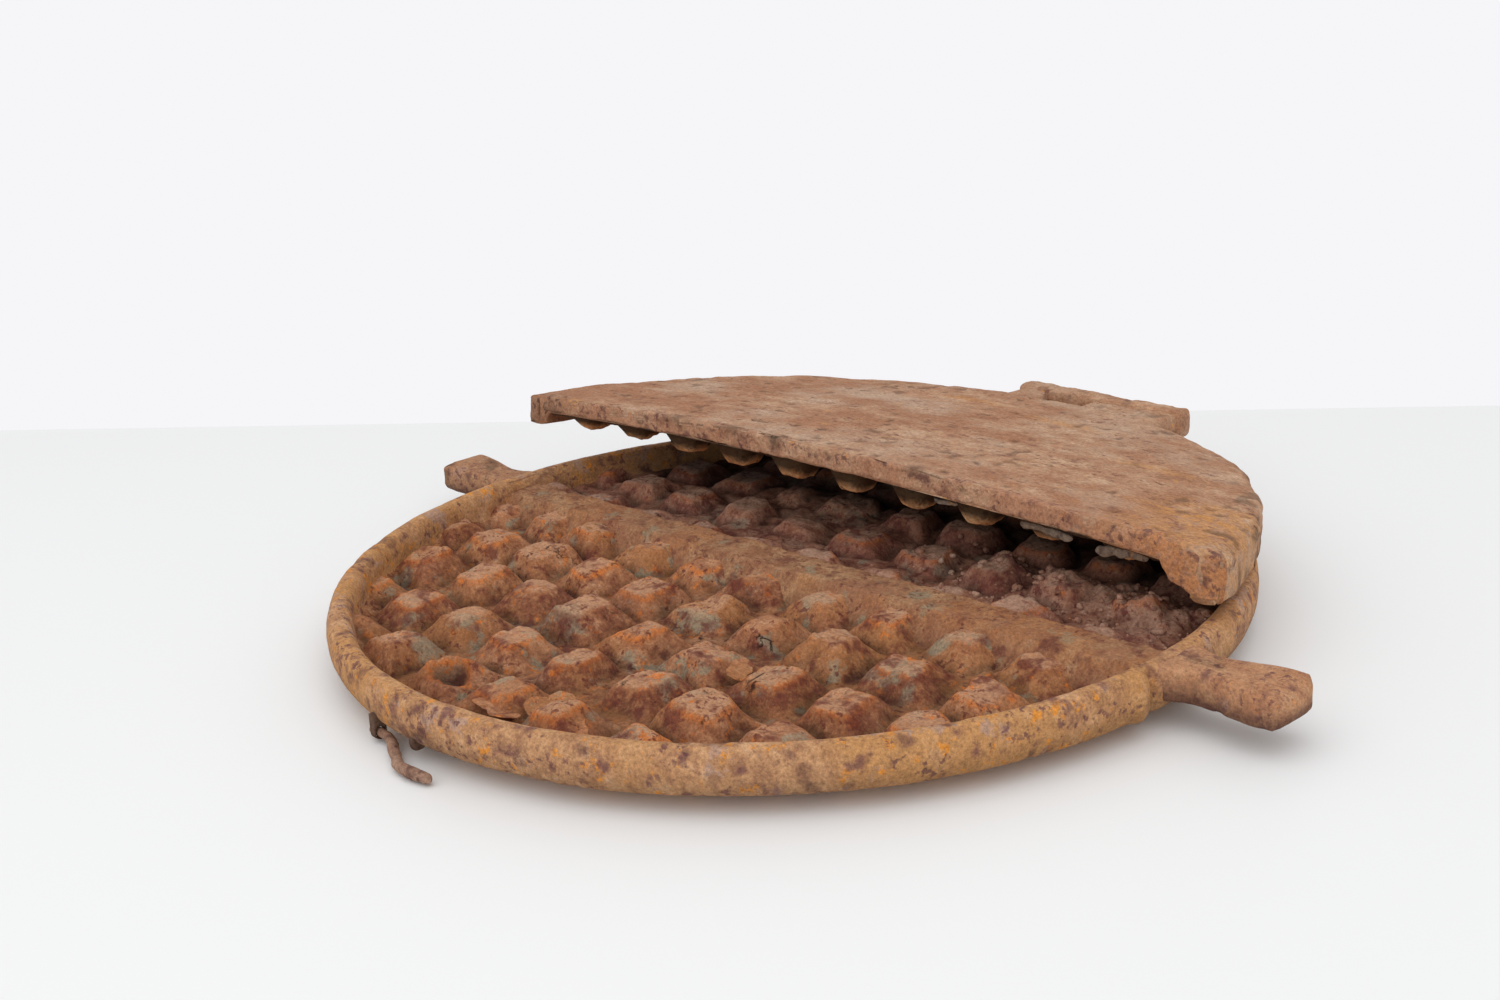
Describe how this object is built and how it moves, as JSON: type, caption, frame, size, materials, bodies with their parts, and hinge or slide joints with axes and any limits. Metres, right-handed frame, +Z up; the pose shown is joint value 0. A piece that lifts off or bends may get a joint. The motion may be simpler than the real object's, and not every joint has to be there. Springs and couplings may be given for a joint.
{
  "type": "stovetop waffle iron",
  "caption": "Cast iron stovetop waffle iron, found open: round studded base with fishtail handles, loose half round lid with a rear bar, and a swinging catch wire",
  "frame": {"origin": "centre of the base's flat underside, which stands on the table", "axes": "+X along the rib to the near handle, +Y to the half of the base that the lid covers, +Z up"},
  "size_m": [0.308, 0.2759, 0.0421],
  "materials": {
    "base_iron": "heavily rusted, ochre on the rim and orange brown in the field",
    "lid_iron": "rusted, with a dusty pinkish brown bloom over the top",
    "wire_iron": "dark scaly rust"
  },
  "bodies": {
    "base": {"base_plate": "base_iron"},
    "lid": {"half_lid": "lid_iron"},
    "catch": {"catch_wire": "wire_iron"}
  },
  "joints": [
    {"name": "lid_lift", "type": "slide", "parent": "base", "child": "lid", "axis": [0, 0, 1], "range_m": [0, 0.06]},
    {"name": "catch_wire_swing", "type": "hinge", "parent": "base", "child": "catch", "pos_m": [0, -0.123, 0.0024], "axis": [-1, 0, 0], "range_deg": [0, 35]}
  ]
}
